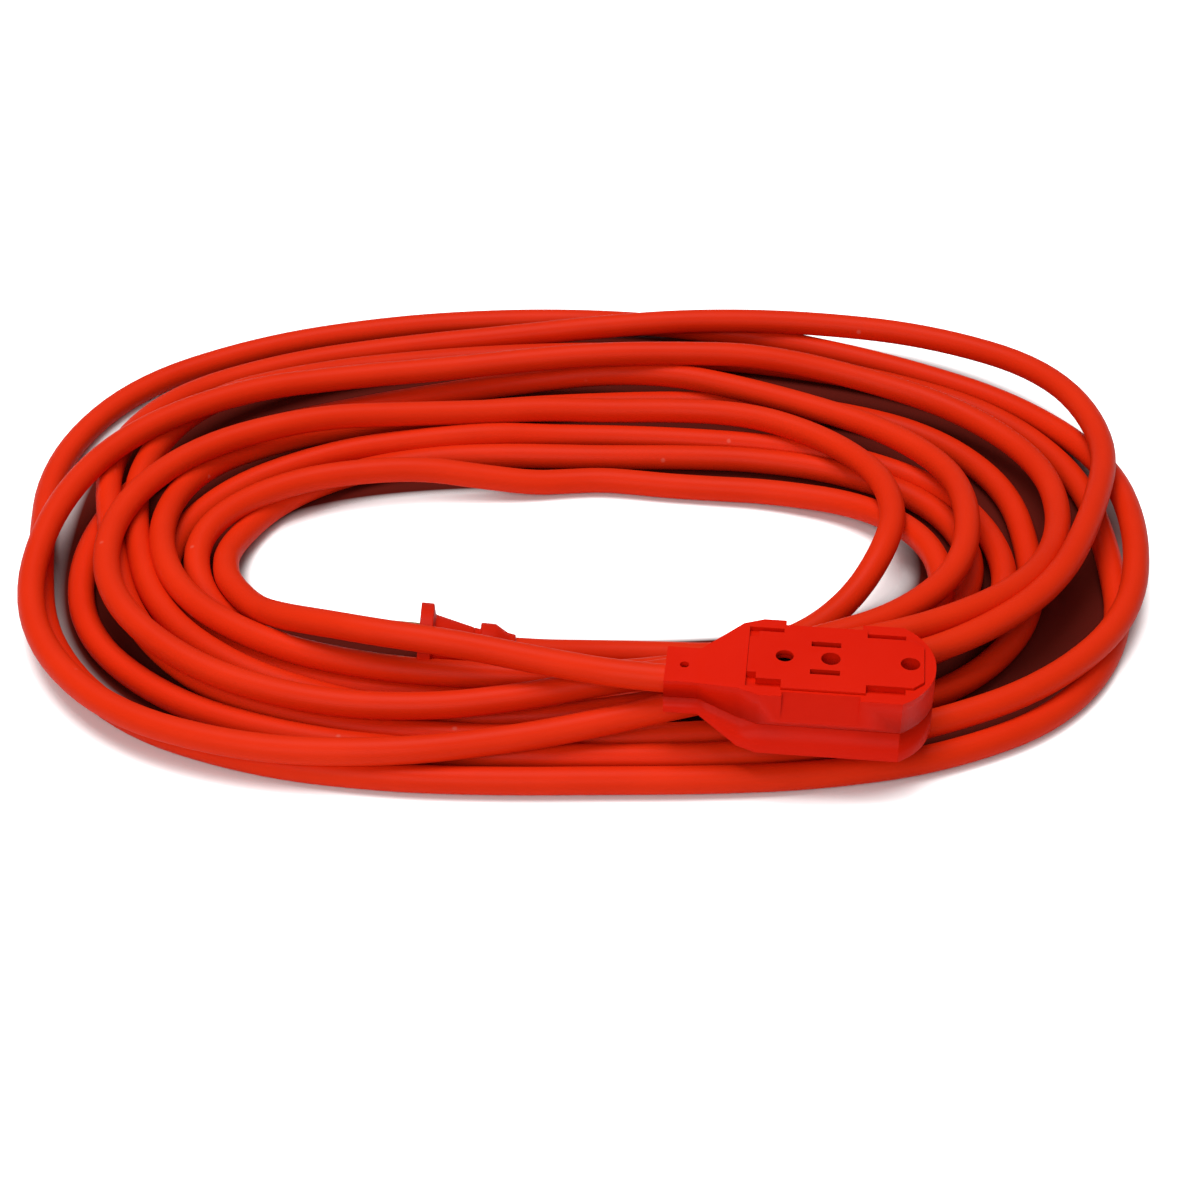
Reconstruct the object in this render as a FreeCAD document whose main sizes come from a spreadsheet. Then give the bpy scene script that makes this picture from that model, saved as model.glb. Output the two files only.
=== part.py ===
"""Outdoor extension cord, coiled for storage: a long three-wire cord wound in a loose
oval, a single-outlet power block lying on the front of the coil and a three-prong
plug lying inside it. Millimetres, +Z up, the floor at z = 0. The origin is on the
floor under the middle of the box round the block and the plug.
"""
import FreeCAD, Part
import math
import os
import re

import Sketcher

Vector = FreeCAD.Vector

# Driving dimensions, in millimetres, degrees or counts. Each one is a cell of the sheet.
SIZES = {
    # The cord
    "cord_diameter": 8.5,
    "wire_diameter": 2.7,
    "wire_ring": 1.75,
    "fit_gap": 0.3,
    "seat_gap": 0.15,
    # The coil: an oval of four stations, left, back, right and front of its middle
    "coil_x": -10.27,
    "coil_y": 81.95,
    "left_y": 0.0,
    "right_y": 8.0,
    "back_x": 0.0,
    "front_x": -25.0,
    "turns_low": 5,
    "turns_high": 4,
    "floor_cut": 0.5,
    "layer_gap": 0.5,
    "climb_slope": 0.037,
    "coil_floor": 420.0,
    "left_start": 121.0,
    "back_start": 38.0,
    "right_start": 105.0,
    "front_start": 78.0,
    "left_gap": 3.0,
    "back_gap": 9.5,
    "right_gap": 6.1,
    "front_gap": 0.9,
    "left_gap_high": 1.2,
    "back_gap_high": 4.7,
    # The power block
    "block_x": 56.73,
    "block_y": -17.05,
    "block_yaw": -6.0,
    "block_height": 22.0,
    "block_lobe_width": 35.0,
    "block_rear_width": 30.0,
    "rear_corner": 6.0,
    "scoop_inset": 2.1,
    "scoop_depth": 9.0,
    "block_rear": -26.0,
    "lobe_rear_end": -13.5,
    "lobe_front_start": 9.0,
    "block_corner": 21.0,
    "block_nose": 30.5,
    "shell_wall": 2.5,
    "neck_width": 16.0,
    "neck_height": 12.0,
    "neck_end": -48.0,
    "flare_end": -38.0,
    "neck_hole": 2.7,
    "neck_hole_inset": 5.5,
    "band_length": 3.0,
    "band_wall": 0.9,
    "band_inset": 3.5,
    "jacket_overrun": 0.5,
    "band_shoulder": 1.0,
    # The outlet, to the common three-pin pattern
    "outlet_x": -1.5,
    "pin_spacing": 12.7,
    "ground_offset": 11.9,
    "slot_length": 8.6,
    "slot_width": 2.2,
    "ground_hole": 5.2,
    "ground_relief": 0.8,
    "plate_thickness": 2.3,
    "plate_proud": 0.8,
    "plate_margin": 2.0,
    "nose_margin": 3.5,
    "nose_cut": 3.0,
    "side_margin": 1.0,
    "tongue_step": 3.6,
    "groove_width": 2.7,
    "groove_leg": 2.7,
    "plate_rear_gap": 0.5,
    "plate_front_gap": 1.4,
    "groove_overrun": 0.7,
    "window_margin": 0.5,
    "mid_screw_offset": 1.5,
    "screw_x": 23.0,
    "recess_diameter": 5.6,
    "recess_floor": 14.0,
    "screw_head": 5.0,
    "screw_head_height": 1.8,
    "screw_shank": 3.0,
    "screw_length": 9.5,
    "pilot_room": 0.5,
    "boss_wall": 0.9,
    "post_wall": 1.8,
    "parting_gap": 0.2,
    # Contacts in the block
    "sheet_metal": 0.8,
    "clip_gap": 1.5,
    "clip_height": 10.0,
    "clip_length": 7.5,
    "sleeve_wall": 0.8,
    "sleeve_height": 12.5,
    "carrier_front": 7.0,
    "carrier_play": 0.7,
    "carrier_height": 11.0,
    "carrier_floor": 1.0,
    "tail_width": 3.0,
    "crimp_wall": 0.6,
    "crimp_length": 5.0,
    "ground_crimp_length": 4.0,
    "tail_end": -17.0,
    "ground_wire_length": 9.0,
    "wire_run": 5.5,
    "wire_spread": 0.23,
    "wire_dip": 0.3,
    "wire_lead_in": 2.5,
    "wire_grip": 4.0,
    "ground_wire_grip": 3.0,
    # The plug, lying on its flange with its tail sunk a little
    "plug_x": -66.67,
    "plug_y": 24.15,
    "plug_pitch": 7.0,
    "plug_roll": 80.0,
    "flange_rim": 1.5,
    "flange_thickness": 4.0,
    "shoulder_step": 0.8,
    "shoulder_diameter": 18.4,
    "shank_diameter": 12.6,
    "shank_end": 17.0,
    "collar_diameter": 16.0,
    "collar_offset": 2.0,
    "collar_taper": 4.0,
    "boot_step": 0.3,
    "boot_shoulder": 1.1,
    "collar_length": 4.5,
    "boot_length": 13.0,
    "boot_wall": 0.7,
    "insert_rim": 0.57,
    "insert_ledge": 0.5,
    "insert_thickness": 2.5,
    "chamber_diameter": 11.6,
    "chamber_end": 13.0,
    "jacket_stop": 14.0,
    "wire_stop": 0.6,
    "plug_wire_grip": 4.0,
    "blade_width": 6.3,
    "blade_thickness": 1.5,
    "blade_length": 17.0,
    "ground_pin": 4.8,
    "ground_length": 20.2,
    "prong_shift": 1.75,
    "prong_ring": 3.2,
}

doc = FreeCAD.newDocument("ExtensionCord")
sheet = doc.addObject("Spreadsheet::Sheet", "Sizes")
for row, (name, value) in enumerate(SIZES.items(), 1):
    sheet.set("A%d" % row, name)
    sheet.set("B%d" % row, str(value))
    sheet.setAlias("B%d" % row, name)
doc.recompute()

PARTS = []


def size(name):
    """The value of one cell."""
    return float(sheet.get(name))


def cells(text):
    """An expression in which each size's name points at its cell."""
    return re.sub(r"[a-z_]+", lambda m: "Sizes." + m.group() if m.group() in SIZES else m.group(), text)


def bind(thing, **expressions):
    """Bind properties of an object to expressions of the sheet."""
    for prop, text in expressions.items():
        thing.setExpression(prop.replace("__", "."), cells(text))


# Heights and places that follow from the sizes
WAIST = "(block_lobe_width - scoop_inset * 2)"
PLATE_WIDE = "(%s / 2 - side_margin)" % WAIST
PLATE_TONGUE = "(%s / 2 - side_margin - tongue_step)" % WAIST
PLATE_REAR = "(block_rear + plate_margin)"
PLATE_NOSE = "(block_nose - nose_margin)"
WAIST_REAR = "(lobe_rear_end - plate_rear_gap)"
WAIST_FRONT = "(lobe_front_start + plate_front_gap)"
GROOVE_FRONT = "(block_corner + groove_overrun)"
LOW_Z = "(cord_diameter / 2 - floor_cut)"
HIGH_Z = "(cord_diameter * 3 / 2 - floor_cut + layer_gap)"
BLOCK_Z = "(cord_diameter * 2 - floor_cut + layer_gap + fit_gap)"
MID = "(block_height / 2)"
CONTACT_Z = "(shell_wall + carrier_floor)"
CRIMP = "(wire_diameter + (seat_gap + crimp_wall) * 2)"
SLEEVE = "(ground_hole + fit_gap + sleeve_wall * 2)"
CLIP_REAR = "outlet_x - clip_length / 2"
GROUND_STRIP = "%s - wire_ring - %s / 2" % (MID, CRIMP)
BAND_X = "(flare_end + band_inset)"
JACKET_END = "(flare_end + band_inset + band_length + jacket_overrun)"
GROUND_TAIL_END = "(%s + ground_wire_length)" % JACKET_END
CARRIER_REAR = "(%s + ground_crimp_length + seat_gap)" % GROUND_TAIL_END
CARRIER_WIDTH = "(%s - (shell_wall + carrier_play) * 2)" % WAIST
NECK_HOLE_X = "(neck_end + neck_hole_inset)"
PRONG_DROP = "(ground_offset / 2 + prong_shift)"
BLADE_Z = "(ground_offset / 2 - prong_shift)"
INSERT = ("(2 * (sqrt((pin_spacing / 2 + blade_thickness / 2 + seat_gap)^2"
          " + (%s + blade_width / 2 + seat_gap)^2) + insert_rim))" % BLADE_Z)
FLANGE = "(%s + flange_rim * 2)" % INSERT
PLUG_Z = "%s / 2 * cos(plug_pitch * 1 deg) + flange_thickness * sin(plug_pitch * 1 deg)" % FLANGE
FEET_END = "insert_thickness + sheet_metal"
BOOT_END = "(shank_end + boot_length)"
COLLAR_START = "(shank_end + collar_offset)"
MID_SCREW = "(outlet_x + mid_screw_offset)"


def seat_block(thing):
    """Put a piece that is drawn in the block's own axes where the block lies."""
    bind(thing, Placement__Base__x="block_x", Placement__Base__y="block_y", Placement__Base__z=BLOCK_Z,
         Placement__Rotation__Angle="block_yaw")


def seat_plug(thing):
    """Put a piece that is drawn in the plug's own axes where the plug lies."""
    bind(thing, Placement="placement(vector(plug_x; plug_y; %s); "
                          "rotation(0; plug_pitch; plug_roll))" % PLUG_Z)


def new_body(label, seat):
    """A PartDesign body in the block's or the plug's own axes."""
    body = doc.addObject("PartDesign::Body", label)
    body.Label = label
    body.Placement = FreeCAD.Placement(Vector(), FreeCAD.Rotation(Vector(0, 0, 1), 0))
    seat(body)
    PARTS.append(body)
    return body


def new_sketch(body, role, offset="0"):
    """A sketch on one of the body's own planes, moved along the plane's normal."""
    sketch = body.newObject("Sketcher::SketchObject", body.Label + "_sketch")
    plane = next(p for p in body.Origin.OriginFeatures if p.Role == role)
    sketch.AttachmentSupport = [(plane, "")]
    sketch.MapMode = "FlatFace"
    bind(sketch, AttachmentOffset__Base__z=offset)
    return sketch


def value_of(text):
    """The number that an expression of the sheet gives now, so that sketches start true."""
    return float(sheet.evalExpression(cells(text)))


def pin_point(sketch, geo, pos, x, y):
    """Fix a point of a sketch at two expressions of the sheet."""
    for kind, axis, text in (("DistanceX", -2, x), ("DistanceY", -1, y)):
        if text == "0":
            sketch.addConstraint(Sketcher.Constraint("PointOnObject", geo, pos, axis))
            continue
        number = sketch.addConstraint(Sketcher.Constraint(kind, -1, 1, geo, pos, value_of(text)))
        sketch.setExpression("Constraints[%d]" % number, cells(text))


def draw_outline(sketch, corners, arc_side=None, arc_centre=None):
    """A closed outline through corners given as pairs of expressions. One side may be an
    arc, anticlockwise, about a centre on the sketch's X axis."""
    spots = [Vector(value_of(x), value_of(y), 0) for x, y in corners]
    first = sketch.GeometryCount
    for side, start in enumerate(spots):
        end = spots[(side + 1) % len(spots)]
        if side == arc_side:
            centre = Vector(value_of(arc_centre), 0, 0)
            turn = [math.atan2(p.y, p.x - centre.x) for p in (start, end)]
            circle = Part.Circle(centre, Vector(0, 0, 1), (start - centre).Length)
            sketch.addGeometry(Part.ArcOfCircle(circle, turn[0], turn[1]), False)
        else:
            sketch.addGeometry(Part.LineSegment(start, end), False)
    for side in range(len(spots)):
        after = first + (side + 1) % len(spots)
        sketch.addConstraint(Sketcher.Constraint("Coincident", first + side, 2, after, 1))
    for side, (x, y) in enumerate(corners):
        pin_point(sketch, first + side, 1, x, y)
    if arc_side is not None:
        number = sketch.addConstraint(Sketcher.Constraint(
            "DistanceX", -1, 1, first + arc_side, 3, value_of(arc_centre)))
        sketch.setExpression("Constraints[%d]" % number, cells(arc_centre))


def draw_box(sketch, x_low, x_high, y_low, y_high):
    """A closed rectangle between four expressions."""
    draw_outline(sketch, [(x_low, y_low), (x_high, y_low), (x_high, y_high), (x_low, y_high)])


def draw_circle(sketch, x, y, diameter):
    """A circle about a point, its diameter an expression."""
    centre = Vector(value_of(x), value_of(y), 0)
    geo = sketch.addGeometry(Part.Circle(centre, Vector(0, 0, 1), value_of(diameter) / 2), False)
    pin_point(sketch, geo, 3, x, y)
    number = sketch.addConstraint(Sketcher.Constraint("Diameter", geo, value_of(diameter)))
    sketch.setExpression("Constraints[%d]" % number, cells(diameter))


def raise_pad(body, sketch, length):
    """Add the sketch, drawn out along its normal."""
    pad = body.newObject("PartDesign::Pad", body.Label + "_pad")
    pad.Profile = sketch
    bind(pad, Length=length)
    sketch.Visibility = False
    return pad


def sink_pocket(body, sketch, depth):
    """Take the sketch away, against its normal."""
    doc.recompute()
    before = body.Shape.Volume
    pocket = body.newObject("PartDesign::Pocket", body.Label + "_pocket")
    pocket.Profile = sketch
    bind(pocket, Length=depth)
    doc.recompute()
    if body.Shape.Volume > before - 1e-3:
        raise RuntimeError("a pocket of %s takes nothing away" % body.Label)
    return pocket


def spin(body, sketch):
    """Turn the sketch's outline about the body's own X axis."""
    feature = body.newObject("PartDesign::Revolution", body.Label + "_turned")
    feature.Profile = sketch
    feature.ReferenceAxis = (sketch, ["H_Axis"])
    feature.Angle = 360
    return feature


# An arc of a tube takes this share of the shorter of its two runs.
RUN_SHARE = 0.45


def round_tube(points, diameter):
    """A tube along straight runs joined by tangent arcs, each arc as large as its two
    runs allow. Returns the solid, the path's length and its least radius."""
    spots = [Vector(*p) for p in points]
    edges, here, radii = [], spots[0], []
    for before, corner, after in zip(spots, spots[1:], spots[2:]):
        into, out = corner - before, after - corner
        shorter = min(into.Length, out.Length)
        into.normalize()
        out.normalize()
        half = into.getAngle(out) / 2
        if half < 1e-4:
            continue
        reach = RUN_SHARE * shorter
        start, end = corner - into * reach, corner + out * reach
        radius = reach / math.tan(half)
        bulge = (start + end) / 2 - corner
        bulge.normalize()
        middle = corner + bulge * (radius / math.cos(half) - radius)
        edges.append(Part.LineSegment(here, start).toShape())
        edges.append(Part.Arc(start, middle, end).toShape())
        radii.append(radius)
        here = end
    edges.append(Part.LineSegment(here, spots[-1]).toShape())
    path = Part.Wire(edges)
    facing = spots[1] - spots[0]
    ring = Part.Wire(Part.makeCircle(diameter / 2, spots[0], facing))
    return path.makePipeShell([ring], True, False), path.Length, min(radii, default=math.inf)


def trim_at_floor(solid):
    """The solid without what reaches under the floor."""
    wide = size("coil_floor")
    middle = Vector(size("coil_x"), size("coil_y"), 0)
    under = Part.makeBox(wide, wide, size("cord_diameter"),
                         middle - Vector(wide / 2, wide / 2, size("cord_diameter")))
    return solid.cut(under)


def add_tube(label, points, diameter, place=None, trim=False):
    """A tube as a sub-part, with its radius and volume printed. A trimmed one is cut flat
    where it lies on the floor."""
    solid, length, tightest = round_tube(points, diameter)
    part = doc.addObject("Part::Feature", label)
    part.Label = label
    part.Shape = trim_at_floor(solid) if trim else solid
    if place is not None:
        part.Placement = place
    PARTS.append(part)
    share = solid.Volume / (math.pi * diameter ** 2 / 4 * length)
    print("%s: length %.1f, least radius %.1f, volume / (section x length) %.4f"
          % (label, length, tightest, share))
    return length


def draw_mirrored(sketch, near, arc_centre=None):
    """A closed outline from the corners on its -Y side, each given by its X and its distance
    from the X axis, and the same corners on the other side. The last two may be joined by
    an arc."""
    low = [(x, "-" + y) for x, y in near]
    high = list(reversed(near))
    draw_outline(sketch, low + high, None if arc_centre is None else len(near) - 1, arc_centre)


def outline_of_block(sketch):
    """Plan of the casing: a slanted corner at the rear, straight sides and a bowed nose."""
    centre = ("(block_nose^2 - block_corner^2 - (block_lobe_width / 2)^2)"
              " / (2 * (block_nose - block_corner))")
    near = [("block_rear", "block_rear_width / 2"),
            ("block_rear + rear_corner", "block_lobe_width / 2"),
            ("block_corner", "block_lobe_width / 2")]
    draw_mirrored(sketch, near, centre)


def half_casing(label, base, height, half_neck_low, half_neck_high):
    """The part of a shell that both halves share: the block's plan, its flare and neck."""
    shell = new_body(label, seat_block)
    plan = new_sketch(shell, "XY_Plane", base)
    outline_of_block(plan)
    raise_pad(shell, plan, height)
    wide = "block_rear_width / 2"
    at_block = new_sketch(shell, "YZ_Plane", "block_rear")
    draw_box(at_block, "-%s" % wide, wide, base, "%s + %s" % (base, height))
    at_neck = new_sketch(shell, "YZ_Plane", "flare_end")
    draw_box(at_neck, "-neck_width / 2", "neck_width / 2", half_neck_low, half_neck_high)
    flare = shell.newObject("PartDesign::AdditiveLoft", label + "_flare")
    flare.Profile = at_neck
    flare.Sections = [at_block]
    flare.Ruled = True
    neck = new_sketch(shell, "YZ_Plane", "neck_end")
    draw_box(neck, "-neck_width / 2", "neck_width / 2", half_neck_low, half_neck_high)
    raise_pad(shell, neck, "flare_end - neck_end")
    return shell


def bore_cable_way(shell):
    """The cord's bore through the neck and the wider room for its band and wires."""
    shoulder = BAND_X + " - band_shoulder"
    for start, end, across in (
            ("neck_end", shoulder, "cord_diameter + fit_gap * 2"),
            (shoulder, "block_rear + shell_wall", "cord_diameter + (band_wall + fit_gap * 2) * 2")):
        ring = new_sketch(shell, "YZ_Plane", end)
        draw_circle(ring, "0", MID, across)
        sink_pocket(shell, ring, "%s - (%s)" % (end, start))


CAVITY = ("block_rear + shell_wall", "block_corner + shell_wall * 2",
          "-(%s / 2 - shell_wall)" % WAIST, "%s / 2 - shell_wall" % WAIST)
BOSS = "screw_shank + post_wall * 2"
SLOTS = ("pin_spacing / 2", "-pin_spacing / 2")


def make_lower_shell():
    """Lower half of the casing, with a post for each screw."""
    shell = half_casing("block_lower_shell", "0", "%s - parting_gap / 2" % MID,
                        "%s - neck_height / 2" % MID, "%s - parting_gap / 2" % MID)
    room = new_sketch(shell, "XY_Plane", MID)
    draw_box(room, *CAVITY)
    sink_pocket(shell, room, "%s - shell_wall" % MID)
    posts = new_sketch(shell, "XY_Plane", "shell_wall")
    draw_circle(posts, MID_SCREW, "0", BOSS)
    draw_circle(posts, "screw_x", "0", BOSS)
    raise_pad(shell, posts, "%s - shell_wall - parting_gap / 2" % MID)
    bore_cable_way(shell)
    pilots = new_sketch(shell, "XY_Plane", MID)
    draw_circle(pilots, MID_SCREW, "0", "screw_shank + fit_gap")
    draw_circle(pilots, "screw_x", "0", "screw_shank + fit_gap")
    sink_pocket(shell, pilots, "screw_length - (recess_floor - %s) + pilot_room" % MID)
    return shell


def seat_outline(sketch):
    """Plan of the outlet plate's seat. Beside the lobes it is wider than the plate by the
    groove that shows there."""
    groove = "(%s + groove_width)" % PLATE_TONGUE
    wide = "(%s + seat_gap)" % PLATE_WIDE
    tongue = "(%s + seat_gap)" % PLATE_TONGUE
    nose = "%s + seat_gap" % PLATE_NOSE
    draw_mirrored(sketch, [
        (PLATE_REAR + " - seat_gap", groove), (WAIST_REAR, groove), (WAIST_REAR, wide),
        (WAIST_FRONT, wide), (WAIST_FRONT, groove), (GROOVE_FRONT, groove), (GROOVE_FRONT, tongue),
        (nose + " - nose_cut", tongue), (nose, "(%s - nose_cut)" % tongue)])


def plate_outline(sketch):
    """Plan of the outlet plate: full width at the waist, a tongue beside each pair of lobes, a
    notch at the rear that turns the groove round the corner, and cut corners at the nose."""
    notch = "(%s - groove_leg)" % PLATE_TONGUE
    draw_mirrored(sketch, [
        (PLATE_REAR, notch), (PLATE_REAR + " + groove_width", notch),
        (PLATE_REAR + " + groove_width", PLATE_TONGUE), (WAIST_REAR, PLATE_TONGUE),
        (WAIST_REAR, PLATE_WIDE), (WAIST_FRONT, PLATE_WIDE), (WAIST_FRONT, PLATE_TONGUE),
        (PLATE_NOSE + " - nose_cut", PLATE_TONGUE), (PLATE_NOSE, "(%s - nose_cut)" % PLATE_TONGUE)])


def scoop_waist(shell):
    """A sloping scoop along each side between the lobes, from the top edge down to nothing."""
    for side in ("-", ""):
        scoop = new_sketch(shell, "YZ_Plane", "lobe_front_start")
        outer, inner = side + "(block_lobe_width / 2)", side + "(%s / 2)" % WAIST
        draw_outline(scoop, [(outer, "block_height - scoop_depth"), (outer, "block_height"),
                             (inner, "block_height")])
        sink_pocket(shell, scoop, "lobe_front_start - lobe_rear_end")


def make_upper_shell():
    """Upper half of the casing: a scooped waist, the seat for the outlet plate, windows under
    its slots and a screw tube at each recess."""
    shell = half_casing("block_upper_shell", "%s + parting_gap / 2" % MID, "%s - parting_gap / 2" % MID,
                        "%s + parting_gap / 2" % MID, "%s + neck_height / 2" % MID)
    scoop_waist(shell)
    room = new_sketch(shell, "XY_Plane", "block_height - shell_wall")
    draw_box(room, *CAVITY)
    sink_pocket(shell, room, "%s - shell_wall" % MID)
    tubes = new_sketch(shell, "XY_Plane", "%s + parting_gap / 2" % MID)
    draw_circle(tubes, MID_SCREW, "0", "recess_diameter + boss_wall * 2")
    draw_circle(tubes, "screw_x", "0", "recess_diameter + boss_wall * 2")
    raise_pad(shell, tubes, "%s - shell_wall" % MID)
    seat = new_sketch(shell, "XY_Plane", "block_height")
    seat_outline(seat)
    sink_pocket(shell, seat, "plate_thickness - plate_proud")
    windows = new_sketch(shell, "XY_Plane", "block_height")
    for y in SLOTS:
        draw_box(windows, "outlet_x - slot_length / 2 - window_margin",
                 "outlet_x + slot_length / 2 + window_margin",
                 "%s - slot_width / 2 - window_margin" % y,
                 "%s + slot_width / 2 + window_margin" % y)
    draw_circle(windows, "outlet_x - ground_offset", "0", "ground_hole + window_margin * 2")
    sink_pocket(shell, windows, "shell_wall * 2")
    recesses = new_sketch(shell, "XY_Plane", "block_height")
    draw_circle(recesses, MID_SCREW, "0", "recess_diameter")
    draw_circle(recesses, "screw_x", "0", "recess_diameter")
    sink_pocket(shell, recesses, "block_height - recess_floor")
    passages = new_sketch(shell, "XY_Plane", "recess_floor")
    draw_circle(passages, MID_SCREW, "0", "screw_shank + fit_gap * 2")
    draw_circle(passages, "screw_x", "0", "screw_shank + fit_gap * 2")
    sink_pocket(shell, passages, "recess_floor - %s" % MID)
    bore_cable_way(shell)
    mark = new_sketch(shell, "XY_Plane", "%s + neck_height / 2" % MID)
    draw_circle(mark, NECK_HOLE_X, "0", "neck_hole")
    sink_pocket(shell, mark, "neck_height / 2 - cord_diameter / 2")
    return shell


def make_face_plate():
    """The raised outlet face: two blade slots, two recesses and the round ground hole, which is a
    little wider at the plate's underside."""
    plate = new_body("block_face_plate", seat_block)
    plan = new_sketch(plate, "XY_Plane", "block_height - plate_thickness + plate_proud")
    plate_outline(plan)
    raise_pad(plate, plan, "plate_thickness")
    holes = new_sketch(plate, "XY_Plane", "block_height + plate_proud")
    for y in SLOTS:
        draw_box(holes, "outlet_x - slot_length / 2", "outlet_x + slot_length / 2",
                 "%s - slot_width / 2" % y, "%s + slot_width / 2" % y)
    draw_circle(holes, "outlet_x - ground_offset", "0", "ground_hole")
    draw_circle(holes, MID_SCREW, "0", "recess_diameter")
    draw_circle(holes, "screw_x", "0", "recess_diameter")
    sink_pocket(plate, holes, "plate_thickness")
    relief = new_sketch(plate, "XY_Plane",
                        "block_height - plate_thickness + plate_proud + ground_relief")
    draw_circle(relief, "outlet_x - ground_offset", "0", "ground_hole + window_margin * 2")
    sink_pocket(plate, relief, "ground_relief")
    return plate


def make_contact_carrier():
    """Insulating cradle on the floor of the casing that keeps the contacts apart."""
    carrier = new_body("block_contact_carrier", seat_block)
    plan = new_sketch(carrier, "XY_Plane", "shell_wall")
    draw_box(plan, CARRIER_REAR, "carrier_front", "-%s / 2" % CARRIER_WIDTH, "%s / 2" % CARRIER_WIDTH)
    raise_pad(carrier, plan, "carrier_height")
    top = "shell_wall + carrier_height"
    wells = new_sketch(carrier, "XY_Plane", top)
    for y in SLOTS:
        half = "clip_gap / 2 + sheet_metal + seat_gap"
        draw_box(wells, CLIP_REAR + " - seat_gap", "outlet_x + clip_length / 2 + seat_gap",
                 "%s - (%s)" % (y, half), "%s + %s" % (y, half))
    sink_pocket(carrier, wells, "carrier_height - carrier_floor")
    tails = new_sketch(carrier, "XY_Plane", top)
    for y in SLOTS:
        half = "%s / 2 + seat_gap" % CRIMP
        draw_box(tails, CARRIER_REAR + " - seat_gap", CLIP_REAR, "%s - (%s)" % (y, half),
                 "%s + %s" % (y, half))
    sink_pocket(carrier, tails, "carrier_height - carrier_floor")
    sleeve = new_sketch(carrier, "XY_Plane", top)
    draw_circle(sleeve, "outlet_x - ground_offset", "0", "%s + seat_gap * 2" % SLEEVE)
    sink_pocket(carrier, sleeve, "carrier_height - carrier_floor")
    channel = new_sketch(carrier, "XY_Plane", top)
    draw_box(channel, CARRIER_REAR + " - seat_gap", "outlet_x - ground_offset",
             "-(tail_width / 2 + seat_gap)", "tail_width / 2 + seat_gap")
    sink_pocket(carrier, channel, "%s - (%s) + seat_gap" % (top, GROUND_STRIP))
    post = new_sketch(carrier, "XY_Plane", top)
    draw_circle(post, MID_SCREW, "0", "recess_diameter + boss_wall * 2 + seat_gap * 2")
    sink_pocket(carrier, post, "carrier_height")


def make_blade_contact(label, y):
    """A brass clip under a blade slot: two leaves, a tail along the floor and a crimp."""
    clip = new_body(label, seat_block)
    half = "clip_gap / 2 + sheet_metal"
    block = new_sketch(clip, "XY_Plane", CONTACT_Z)
    draw_box(block, CLIP_REAR, "outlet_x + clip_length / 2", "%s - (%s)" % (y, half), "%s + %s" % (y, half))
    raise_pad(clip, block, "clip_height")
    tail = new_sketch(clip, "XY_Plane", CONTACT_Z)
    draw_box(tail, "tail_end", CLIP_REAR + " + sheet_metal", "%s - tail_width / 2" % y,
             "%s + tail_width / 2" % y)
    raise_pad(clip, tail, "sheet_metal")
    crimp = new_sketch(clip, "YZ_Plane", "tail_end")
    draw_circle(crimp, y, "%s + %s / 2" % (CONTACT_Z, CRIMP), CRIMP)
    raise_pad(clip, crimp, "crimp_length")
    barrel = new_sketch(clip, "YZ_Plane", "tail_end + crimp_length")
    draw_circle(barrel, y, "%s + %s / 2" % (CONTACT_Z, CRIMP), "wire_diameter + seat_gap * 2")
    sink_pocket(clip, barrel, "crimp_length")
    gap = new_sketch(clip, "XY_Plane", "%s + clip_height" % CONTACT_Z)
    draw_box(gap, CLIP_REAR + " - seat_gap", "outlet_x + clip_length / 2 + seat_gap",
             "%s - clip_gap / 2" % y, "%s + clip_gap / 2" % y)
    sink_pocket(clip, gap, "clip_height - sheet_metal")


def make_ground_contact():
    """A brass sleeve under the round hole, with its tail and crimp."""
    sleeve = new_body("block_ground_contact", seat_block)
    ring = new_sketch(sleeve, "XY_Plane", CONTACT_Z)
    draw_circle(ring, "outlet_x - ground_offset", "0", SLEEVE)
    raise_pad(sleeve, ring, "sleeve_height")
    tail = new_sketch(sleeve, "XY_Plane", GROUND_STRIP)
    draw_box(tail, GROUND_TAIL_END, "outlet_x - ground_offset", "-tail_width / 2", "tail_width / 2")
    raise_pad(sleeve, tail, "sheet_metal")
    crimp = new_sketch(sleeve, "YZ_Plane", GROUND_TAIL_END)
    draw_circle(crimp, "0", "%s - wire_ring" % MID, CRIMP)
    raise_pad(sleeve, crimp, "ground_crimp_length")
    barrel = new_sketch(sleeve, "YZ_Plane", GROUND_TAIL_END + " + ground_crimp_length")
    draw_circle(barrel, "0", "%s - wire_ring" % MID, "wire_diameter + seat_gap * 2")
    sink_pocket(sleeve, barrel, "ground_crimp_length")
    bore = new_sketch(sleeve, "XY_Plane", "%s + sleeve_height" % CONTACT_Z)
    draw_circle(bore, "outlet_x - ground_offset", "0", "ground_hole + fit_gap")
    sink_pocket(sleeve, bore, "sleeve_height")


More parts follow.
